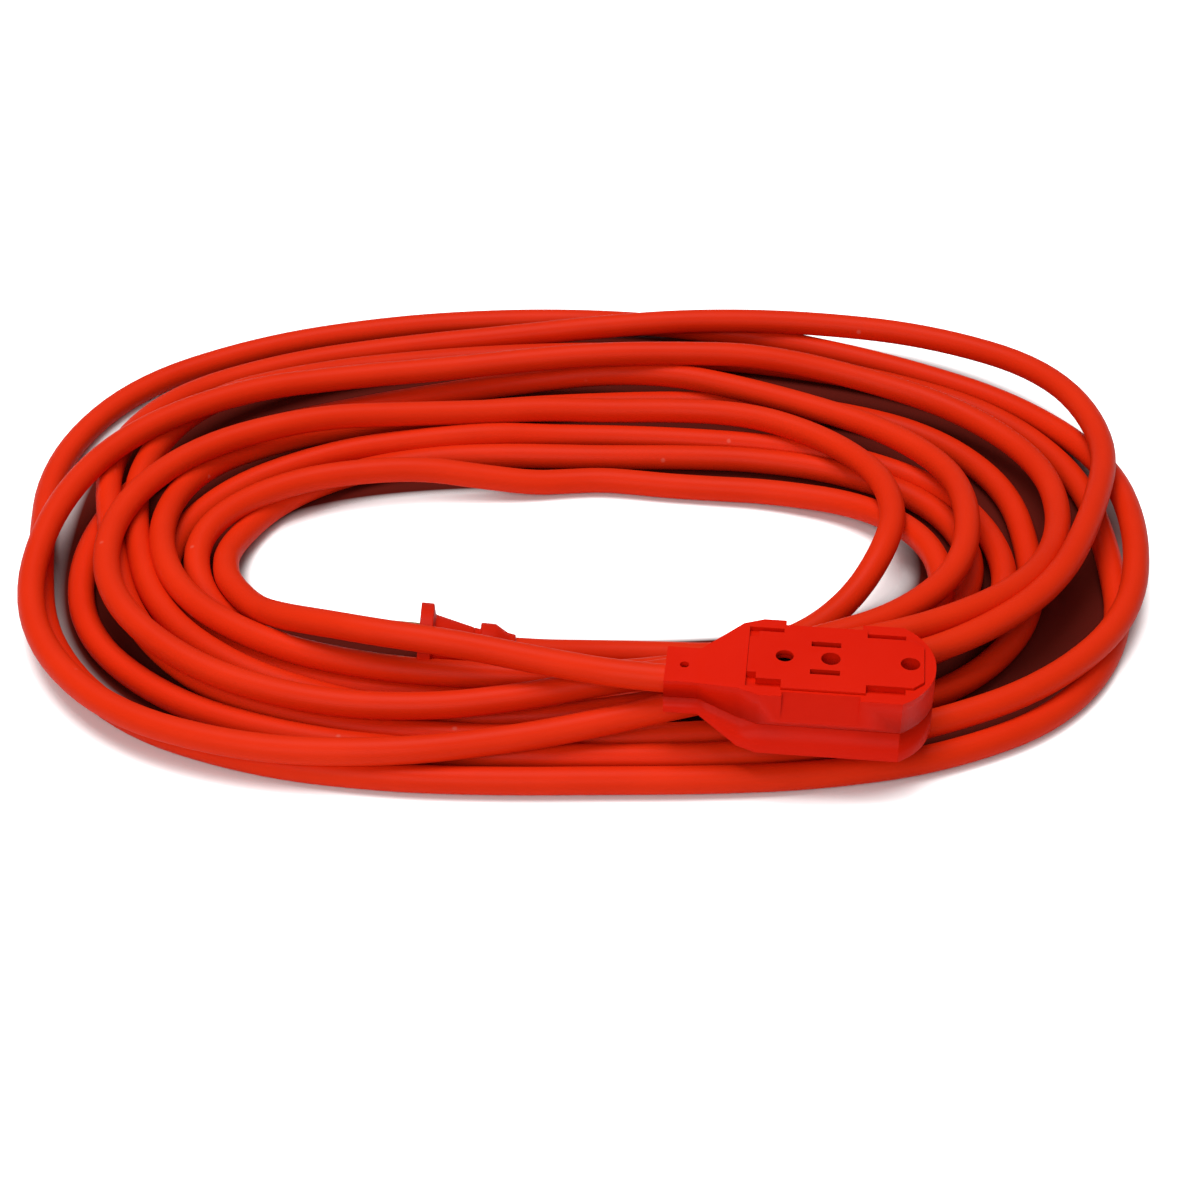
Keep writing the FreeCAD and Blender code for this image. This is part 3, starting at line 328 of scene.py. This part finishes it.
def coil_points():
    """Clockwise from the left: at angle a the reach is the oval's, times a share that runs smoothly
    through the chosen reaches. The third column is the layer, not yet a height."""
    chosen = np.array([place for turn in TURNS for place in turn], float)
    places = len(COMPASS)
    angle = np.radians([COMPASS[i % places] - 360.0 * (i // places) for i in range(len(chosen))])
    share = chosen[:, 0] / oval_reach(angle)
    way = np.arange(-angle[0], -angle[-1] + 1e-9, 2 * np.pi / POINTS_A_TURN)
    reach = smooth_through(way, -angle, share) * oval_reach(way)
    layer = smooth_through(way, -angle, chosen[:, 1])
    return np.stack([reach * np.cos(way), -reach * np.sin(way), layer], 1)


turns = coil_points()
print("coil:", len(turns), "points,", len(TURNS), "turns, the last one short")


# %% [markdown]
# ## The two leads
#
# The lead leaves the block's neck straight, crosses the front of the coil and runs down into the
# first turn. The other lead leaves the last turn, swings round on the right, and goes to the plug.
# Their points follow those of the solids, in millimetres from the coil's middle, with small moves
# where the photograph shows the cord to lie a little elsewhere.

# %% Leads
BLOCK_LEAD = [
    (36.17, -95.76, 28.3), (10.81, -93.09, 28.3), (-14.0, -84.0, 26.0), (-42.0, -74.5, 25.6),
    (-67.0, -68.5, 25.4), (-84.0, -61.5, 23.4), (-97.7, -53.0, 19.2), (-108.1, -42.5, 14.0),
    (-116.0, -31.0, 7.8), (-121.0, -19.5, 4.6),
]
PLUG_LEAD = [
    (31.0, 74.0, 14.0), (54.0, 68.0, 14.0), (73.0, 57.0, 14.0), (87.0, 42.0, 14.5),
    (95.0, 24.0, 14.5), (97.0, 5.0, 14.0), (92.0, -13.0, 10.0), (82.0, -29.0, 6.0),
    (69.0, -41.5, 4.4), (54.5, -49.5, 4.4), (38.0, -54.5, 4.4), (18.5, -53.5, 4.4),
    (-1.5, -54.5, 5.6), (-22.4, -57.8, 8.72), (-42.5, -57.8, 11.19),
]
block_lead = np.array(BLOCK_LEAD)
plug_lead = np.array(PLUG_LEAD)
print("leads:", len(block_lead), "and", len(plug_lead), "points")


# %% [markdown]
# ## Letting the strands lie on each other
#
# Every strand would lie on the floor if nothing were beneath it. Where two strands come closer
# than the cord is thick, the one in the higher layer is raised until it just lies on the other.
# A physics simulation could do this too, but it would be slow and could move the strands away from
# the places they have in the photograph. All lengths are in millimetres: TOUCH is how near two
# centre lines may come, and SAG is how far a point may hang. Places nearer than OWN_REACH along the
# cord belong to one bend, so they don't count as a crossing.

# %% Raise each crossing
FLOOR_LINE = CORD / 2
TOUCH = 7.9
SAG = 1.5
OWN_REACH = 40.0
SAMPLES_A_SIDE = 5
LATER_LIES_HIGHER = 1e-4
LEAST_GRIP = 0.04
ROUNDS = 40


def spline_weights(count, samples):
    """The weights of a quadratic spline's samples on its points. From the middle of one side of the
    control line to the middle of the next, a point at t is (1-t)^2 of the first middle, 2t(1-t) of
    the point between and t^2 of the second middle. At the ends the end point is the middle."""
    t = np.linspace(0.0, 1.0, samples, endpoint=False)
    weights = np.zeros(((count - 2) * samples, count))
    for k in range(1, count - 1):
        rows = slice((k - 1) * samples, k * samples)
        before = (1 - t) ** 2 * (1.0 if k == 1 else 0.5)
        after = t**2 * (1.0 if k == count - 2 else 0.5)
        weights[rows, k - 1] = before
        weights[rows, k + 1] = after
        weights[rows, k] = 1.0 - before - after
    return weights


def lie_on(points, layer, held):
    """Heights of the points: the floor, raised wherever a lower strand is nearer than the cord's
    width in plan, by the height that keeps the two centre lines one width apart. The cord is stiff,
    so a point hangs at most SAG below the line between its neighbours."""
    weights = spline_weights(len(points), SAMPLES_A_SIDE)
    plan = weights @ points[:, :2]
    along = np.r_[0.0, np.cumsum(np.linalg.norm(np.diff(plan, axis=0), axis=1))]
    gap = np.linalg.norm(plan[:, None] - plan[None], axis=-1)
    order = weights @ layer + LATER_LIES_HIGHER * np.arange(len(plan))
    near = (gap < TOUCH) & (np.abs(along[:, None] - along[None]) > OWN_REACH)
    upper, lower = np.nonzero(near & (order[:, None] > order[None]))
    rise = np.sqrt(TOUCH**2 - gap[upper, lower] ** 2)
    grip = weights > LEAST_GRIP
    height = np.where(held, points[:, 2], FLOOR_LINE)
    for _ in range(ROUNDS):
        need = np.full(len(plan), FLOOR_LINE)
        np.maximum.at(need, upper, (weights @ height)[lower] + rise)
        raised = np.where(grip, need[:, None], 0.0).max(0)
        raised[1:-1] = np.maximum(raised[1:-1], (height[:-2] + height[2:]) / 2 - SAG)
        height = np.where(held, height, np.maximum(height, raised))
    middle = height.copy()
    middle[1:-1] = (height[:-2] + 2 * height[1:-1] + height[2:]) / 4
    return np.where(held, height, np.maximum(height, middle))


HELD_AT_BLOCK, HELD_AT_PLUG = 8, 2
BLOCK_LEAD_LOW, PLUG_LEAD_LOW = 4.6, 4.0
LAYER_HEIGHT = 12.0

way = np.concatenate([block_lead, turns, plug_lead])
held = np.zeros(len(way), bool)
held[:HELD_AT_BLOCK] = True
held[-HELD_AT_PLUG:] = True
block_layer = (block_lead[:, 2] - BLOCK_LEAD_LOW) / LAYER_HEIGHT
plug_layer = (plug_lead[:, 2] - PLUG_LEAD_LOW) / LAYER_HEIGHT
layer = np.concatenate([block_layer, turns[:, 2], plug_layer])
way[:, 2] = lie_on(way, layer, held)
way = (way + np.array([COIL_X, COIL_Y, 0.0])) * MM
print("cord: heights", round(float(way[:, 2].min()), 4), "to", round(float(way[:, 2].max()), 4))


# %% [markdown]
# ## The cord as a tube
#
# A curve with a round bevel would be the quick way to a cord. Here Blender's own NURBS spline gives
# the smooth centre line, and the skin is then laid round it ring by ring. That gives the cord a map
# of its own, along and round, which its finish follows.

# %% Centre line
def read_spline(name, points):
    """Blender's smooth line through the pull of the points, read back as a row of places."""
    curve = bpy.data.curves.new(name, "CURVE")
    curve.dimensions = "3D"
    curve.resolution_u = 8
    spline = curve.splines.new("NURBS")
    spline.points.add(len(points) - 1)
    spline.points.foreach_set("co", np.c_[points, np.ones(len(points))].ravel())
    spline.order_u = 3
    spline.use_endpoint_u = True
    holder = bpy.data.objects.new(name, curve)
    bpy.context.scene.collection.objects.link(holder)
    bpy.context.view_layer.update()
    graph = bpy.context.evaluated_depsgraph_get()
    drawn = bpy.data.meshes.new_from_object(holder.evaluated_get(graph))
    line = np.empty(len(drawn.vertices) * 3)
    drawn.vertices.foreach_get("co", line)
    bpy.data.objects.remove(holder)
    bpy.data.curves.remove(curve)
    bpy.data.meshes.remove(drawn)
    return line.reshape(-1, 3)


centre = read_spline("cord_way", way)
steps = np.linalg.norm(np.diff(centre, axis=0), axis=1)
cord_length = float(steps.sum())
print("cord: centre line of", len(centre), "places,", round(cord_length, 3), "m long")


# %% Skin of the cord
def tube_points(line, radius, sides):
    """Rings square to the line: centre + radius * (cos a * side + sin a * up). side is level."""
    heading = np.gradient(line, axis=0)
    heading /= np.linalg.norm(heading, axis=1)[:, None]
    side = np.cross([0.0, 0.0, 1.0], heading)
    side /= np.linalg.norm(side, axis=1)[:, None]
    up = np.cross(heading, side)
    a = np.linspace(0.0, 2 * np.pi, sides, endpoint=False)
    ring = np.cos(a)[None, :, None] * side[:, None] + np.sin(a)[None, :, None] * up[:, None]
    return line[:, None] + radius * ring


def close_ends(mesh):
    """A flat face over each open end of a tube."""
    work = bmesh.new()
    work.from_mesh(mesh)
    bmesh.ops.holes_fill(work, edges=[e for e in work.edges if e.is_boundary], sides=0)
    bmesh.ops.recalc_face_normals(work, faces=work.faces)
    work.to_mesh(mesh)
    work.free()


SIDES = 20
skin = tube_points(centre, CORD / 2 * MM, SIDES)
cord_mesh = grid_mesh("cord", skin, wrap=True)
along = np.r_[0.0, np.cumsum(steps)]
quad = np.arange((len(centre) - 1) * SIDES)
row, column = quad // SIDES, quad % SIDES
u = np.stack([column, column + 1, column + 1, column], 1) / SIDES
v = along[np.stack([row, row, row + 1, row + 1], 1)]
cord_map = cord_mesh.uv_layers.new(name="along_and_round")
cord_map.data.foreach_set("uv", np.stack([u, v], -1).ravel())
close_ends(cord_mesh)
cord_mesh.polygons.foreach_set("use_smooth", np.ones(len(cord_mesh.polygons), bool))
cord = add_object("cord", cord_mesh)
print("cord:", len(cord_mesh.polygons), "faces")

cord_solids = ["cord_block_lead", "cord_coil", "cord_plug_lead"]
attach(cord, "root")
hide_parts(*cord_solids)


# %% [markdown]
# ## Soft edges on the mouldings
#
# A moulded casing has no sharp edge: its corners carry a small round that catches the light. The
# solids have the right faces, so each piece that shows is copied, its loose triangles are joined,
# its flat faces are merged again, and a bevel rounds the edges between them.

# %% Copies with rounded edges
SAME_PLACE = 1e-6
FLAT_TURN = math.radians(0.6)
SHARP_TURN = math.radians(32.0)
CASE_SEAM = 0.02835
SEAM_SLACK = 0.0002


def softened(node, name, width, segments=3, seam=None):
    """A merged copy of a node's mesh with a bevel on every edge that turns more than SHARP_TURN.
    Edges at the height of the seam stay sharp, because there two pieces close on each other."""
    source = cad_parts[node]
    work = bmesh.new()
    work.from_mesh(source.data)
    bmesh.ops.remove_doubles(work, verts=work.verts, dist=SAME_PLACE)
    bmesh.ops.dissolve_limit(work, angle_limit=FLAT_TURN, verts=work.verts, edges=work.edges)
    weight = work.edges.layers.float.new("bevel_weight_edge")
    for edge in work.edges:
        at_seam = seam is not None and all(abs(v.co.z - seam) < SEAM_SLACK for v in edge.verts)
        edge[weight] = 1.0 if edge.calc_face_angle(0.0) > SHARP_TURN and not at_seam else 0.0
    mesh = bpy.data.meshes.new(name)
    work.to_mesh(mesh)
    work.free()
    mesh.polygons.foreach_set("use_smooth", np.ones(len(mesh.polygons), bool))
    piece = add_object(name, mesh)
    bevel = piece.modifiers.new("edge_round", "BEVEL")
    bevel.width = width
    bevel.segments = segments
    bevel.limit_method = "WEIGHT"
    bevel.harden_normals = True
    bevel.use_clamp_overlap = True
    level = piece.modifiers.new("face_normals", "WEIGHTED_NORMAL")
    level.keep_sharp = True
    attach(piece, "root")
    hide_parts(node)
    return piece


EDGE_ROUNDS = {
    "block_upper_shell": ("casing_top", 0.0007, 3, CASE_SEAM),
    "block_lower_shell": ("casing_bottom", 0.0006, 3, CASE_SEAM),
    "block_face_plate": ("outlet_face", 0.00025, 2),
    "plug_body": ("plug_moulding", 0.0006),
    "plug_strain_relief": ("plug_boot", 0.0004),
    "plug_face_insert": ("plug_disc", 0.0003, 2),
    "plug_hot_blade": ("blade_hot", 0.0002, 2),
    "plug_neutral_blade": ("blade_neutral", 0.0002, 2),
    "plug_ground_pin": ("pin_ground", 0.0002, 2),
}
soft = {node: softened(node, *row) for node, row in EDGE_ROUNDS.items()}
print("rounded pieces:", ", ".join(p.name for p in soft.values()))


# %% [markdown]
# ## Finishes
#
# The jacket is a soft vinyl with a satin skin. The casing is a harder, smoother plastic of almost
# the same colour. Both have a very fine grain and tiny differences in gloss, which is what keeps a
# red plastic from looking like flat paint. The grain is one shader group that every finish uses
# with its own size and strength. SHEEN is kept low, because the studio's even light leaves only a
# faint shine on the cord and on the casing.

# %% Shader groups
def new_group(name, inputs, outputs):
    """An empty shader group with the named sockets."""
    group = bpy.data.node_groups.new(name, "ShaderNodeTree")
    for label, kind, value in inputs:
        socket = group.interface.new_socket(name=label, in_out="INPUT", socket_type=kind)
        if value is not None:
            socket.default_value = value
    for label, kind in outputs:
        group.interface.new_socket(name=label, in_out="OUTPUT", socket_type=kind)
    enter = group.nodes.new("NodeGroupInput")
    leave = group.nodes.new("NodeGroupOutput")
    return group, enter, leave


def grain_group():
    """Cloudy shade and gloss, and a fine bump: noise at a broad and at a fine scale."""
    group, enter, leave = new_group(
        "plastic_grain",
        [
            ("Vector", "NodeSocketVector", None),
            ("Fine scale", "NodeSocketFloat", 900.0),
            ("Cloud scale", "NodeSocketFloat", 30.0),
            ("Depth", "NodeSocketFloat", 0.2),
        ],
        [
            ("Cloud", "NodeSocketFloat"),
            ("Gloss", "NodeSocketFloat"),
            ("Normal", "NodeSocketVector"),
        ],
    )
    cloud = noise(group, enter.outputs["Vector"], enter.outputs["Cloud scale"])
    fine = noise(group, enter.outputs["Vector"], enter.outputs["Fine scale"], detail=2.0)
    bump = group.nodes.new("ShaderNodeBump")
    bump.inputs["Distance"].default_value = 0.0002
    group.links.new(fine, bump.inputs["Height"])
    group.links.new(enter.outputs["Depth"], bump.inputs["Strength"])
    gloss = number(group, "MULTIPLY_ADD", fine, 0.3, number(group, "MULTIPLY", cloud, 0.7))
    group.links.new(ramp(group, cloud, 0.3, 0.7), leave.inputs["Cloud"])
    group.links.new(ramp(group, gloss, 0.3, 0.7), leave.inputs["Gloss"])
    group.links.new(bump.outputs["Normal"], leave.inputs["Normal"])
    return group


SPECK_SCALE = 260.0
SPECK_COLOUR = (0.72, 0.52, 0.42, 1.0)
SPECK_EDGE = (0.26, 0.12)
RARE_CELL = (0.990, 0.992)


def dust_group():
    """Sparse pale specks: the cells of a Voronoi pattern whose own random value is high."""
    group, enter, leave = new_group(
        "dust_specks",
        [("Vector", "NodeSocketVector", None), ("Scale", "NodeSocketFloat", SPECK_SCALE)],
        [("Mask", "NodeSocketFloat")],
    )
    cells = group.nodes.new("ShaderNodeTexVoronoi")
    group.links.new(enter.outputs["Vector"], cells.inputs["Vector"])
    group.links.new(enter.outputs["Scale"], cells.inputs["Scale"])
    split = group.nodes.new("ShaderNodeSeparateColor")
    group.links.new(cells.outputs["Color"], split.inputs["Color"])
    rare = ramp(group, split.outputs["Red"], *RARE_CELL)
    spot = ramp(group, cells.outputs["Distance"], *SPECK_EDGE)
    group.links.new(number(group, "MULTIPLY", rare, spot), leave.inputs["Mask"])
    return group


GRAIN = grain_group()
DUST = dust_group()
print("shader groups:", GRAIN.name, "and", DUST.name)


# %% Finish maker
def group_node(tree, group, vector, **values):
    """The group placed in a material, read at the vector, with its own values."""
    node = tree.nodes.new("ShaderNodeGroup")
    node.node_tree = group
    tree.links.new(vector, node.inputs["Vector"])
    for label, value in values.items():
        node.inputs[label.replace("_", " ")].default_value = value
    return node


def start_finish(name):
    """A new material: its tree, its shader and the Object coordinates."""
    material = bpy.data.materials.new(name)
    material.use_nodes = True
    tree = material.node_tree
    shader = tree.nodes["Principled BSDF"]
    place = tree.nodes.new("ShaderNodeTexCoord").outputs["Object"]
    return material, tree, shader, place


SHEEN = 0.06


def plastic(name, light, deep, gloss, fine=900.0, cloud=30.0, depth=0.2, dust=0.0):
    """A moulded plastic: two near shades in clouds, a gloss that wanders between two values, a
    fine grain and, where asked, pale specks."""
    material, tree, shader, place = start_finish(name)
    grain = group_node(tree, GRAIN, place, Fine_scale=fine, Cloud_scale=cloud, Depth=depth)
    colour = blend(tree, grain.outputs["Cloud"], deep + (1.0,), light + (1.0,))
    if dust:
        specks = group_node(tree, DUST, place, Scale=SPECK_SCALE)
        share = number(tree, "MULTIPLY", specks.outputs["Mask"], dust)
        colour = blend(tree, share, colour, SPECK_COLOUR)
    tree.links.new(colour, shader.inputs["Base Color"])
    span = number(tree, "MULTIPLY_ADD", grain.outputs["Gloss"], gloss[1] - gloss[0], gloss[0])
    tree.links.new(span, shader.inputs["Roughness"])
    tree.links.new(grain.outputs["Normal"], shader.inputs["Normal"])
    shader.inputs["Specular IOR Level"].default_value = SHEEN
    return material


def metal(name, light, deep, gloss):
    """A metal: two near shades in clouds and a gloss that wanders."""
    material = plastic(name, light, deep, gloss, fine=500.0, cloud=60.0, depth=0.1)
    material.node_tree.nodes["Principled BSDF"].inputs["Metallic"].default_value = 1.0
    return material


# %% [markdown]
# ## Colours
#
# Colours are written as light is added up, not as a screen shows them, so they look darker here
# than in the picture. The jacket and the casing are the same orange-red family, the casing a shade
# cleaner. The pieces inside never show, but they are finished too, for anyone who takes it apart.

# %% Jacket of the cord
LINE_STRETCH = (46.0, 5.0, 1.0)


def jacket():
    """Satin vinyl: grain read on Object coordinates, and faint lines drawn along the cord."""
    material = plastic(
        "jacket_vinyl", (0.73, 0.028, 0.0040), (0.67, 0.023, 0.0030), (0.36, 0.48),
        fine=1100.0, cloud=22.0, depth=0.12, dust=0.12,
    )
    tree = material.node_tree
    shader = tree.nodes["Principled BSDF"]
    grid = tree.nodes.new("ShaderNodeUVMap")
    grid.uv_map = "along_and_round"
    stretch = tree.nodes.new("ShaderNodeMapping")
    stretch.inputs["Scale"].default_value = LINE_STRETCH
    tree.links.new(grid.outputs["UV"], stretch.inputs["Vector"])
    lines = noise(tree, stretch.outputs["Vector"], 1.0, detail=2.0)
    bump = tree.nodes.new("ShaderNodeBump")
    bump.inputs["Distance"].default_value = 0.0003
    bump.inputs["Strength"].default_value = 0.10
    tree.links.new(lines, bump.inputs["Height"])
    tree.links.new(shader.inputs["Normal"].links[0].from_socket, bump.inputs["Normal"])
    tree.links.new(bump.outputs["Normal"], shader.inputs["Normal"])
    return material


cord_mesh.materials.append(jacket())
print("cord finish:", cord_mesh.materials[0].name)


# %% Finishes by slot
FINISHES = {
    "casing_plastic": plastic(
        "casing_red", (0.67, 0.0105, 0.0008), (0.64, 0.0090, 0.0007), (0.32, 0.44),
        depth=0.10, dust=0.12,
    ),
    "plug_vinyl": plastic(
        "plug_red", (0.64, 0.0140, 0.0015), (0.59, 0.0115, 0.0012), (0.38, 0.52),
        depth=0.14, dust=0.2,
    ),
    "insert_plastic": plastic(
        "insert_dark", (0.030, 0.028, 0.027), (0.018, 0.017, 0.016), (0.4, 0.55)
    ),
    "carrier_plastic": plastic(
        "carrier_dark", (0.035, 0.034, 0.033), (0.02, 0.02, 0.02), (0.45, 0.6)
    ),
    "brass": metal("clip_brass", (0.72, 0.50, 0.18), (0.60, 0.40, 0.13), (0.28, 0.42)),
    "prong_brass": metal("prong_brass", (0.78, 0.58, 0.25), (0.68, 0.48, 0.18), (0.18, 0.34)),
    "screw_steel": metal("screw_zinc", (0.58, 0.58, 0.60), (0.46, 0.46, 0.48), (0.28, 0.40)),
    "band_steel": metal("band_steel", (0.62, 0.62, 0.63), (0.50, 0.50, 0.52), (0.30, 0.45)),
    "wire_black": plastic("wire_black", (0.022, 0.022, 0.022), (0.012, 0.012, 0.012), (0.4, 0.55)),
    "wire_white": plastic("wire_white", (0.78, 0.77, 0.73), (0.70, 0.69, 0.65), (0.4, 0.55)),
    "wire_green": plastic("wire_green", (0.012, 0.20, 0.035), (0.008, 0.14, 0.024), (0.4, 0.55)),
}
SLOT_OF = {
    "block_upper_shell": "casing_plastic",
    "block_lower_shell": "casing_plastic",
    "block_face_plate": "casing_plastic",
    "block_contact_carrier": "carrier_plastic",
    "block_hot_contact": "brass",
    "block_neutral_contact": "brass",
    "block_ground_contact": "brass",
    "block_case_screws": "screw_steel",
    "block_cord_band": "band_steel",
    "block_hot_wire": "wire_black",
    "block_neutral_wire": "wire_white",
    "block_ground_wire": "wire_green",
    "plug_body": "plug_vinyl",
    "plug_strain_relief": "plug_vinyl",
    "plug_face_insert": "insert_plastic",
    "plug_hot_blade": "prong_brass",
    "plug_neutral_blade": "prong_brass",
    "plug_ground_pin": "prong_brass",
    "plug_hot_wire": "wire_black",
    "plug_neutral_wire": "wire_white",
    "plug_ground_wire": "wire_green",
}
for node, slot in SLOT_OF.items():
    if node in soft:
        piece = soft[node]
        piece.data.materials.clear()
        piece.data.materials.append(FINISHES[slot])
    else:
        for material_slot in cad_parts[node].material_slots:
            material_slot.material = FINISHES[slot]
print("finishes given to", len(SLOT_OF), "pieces")
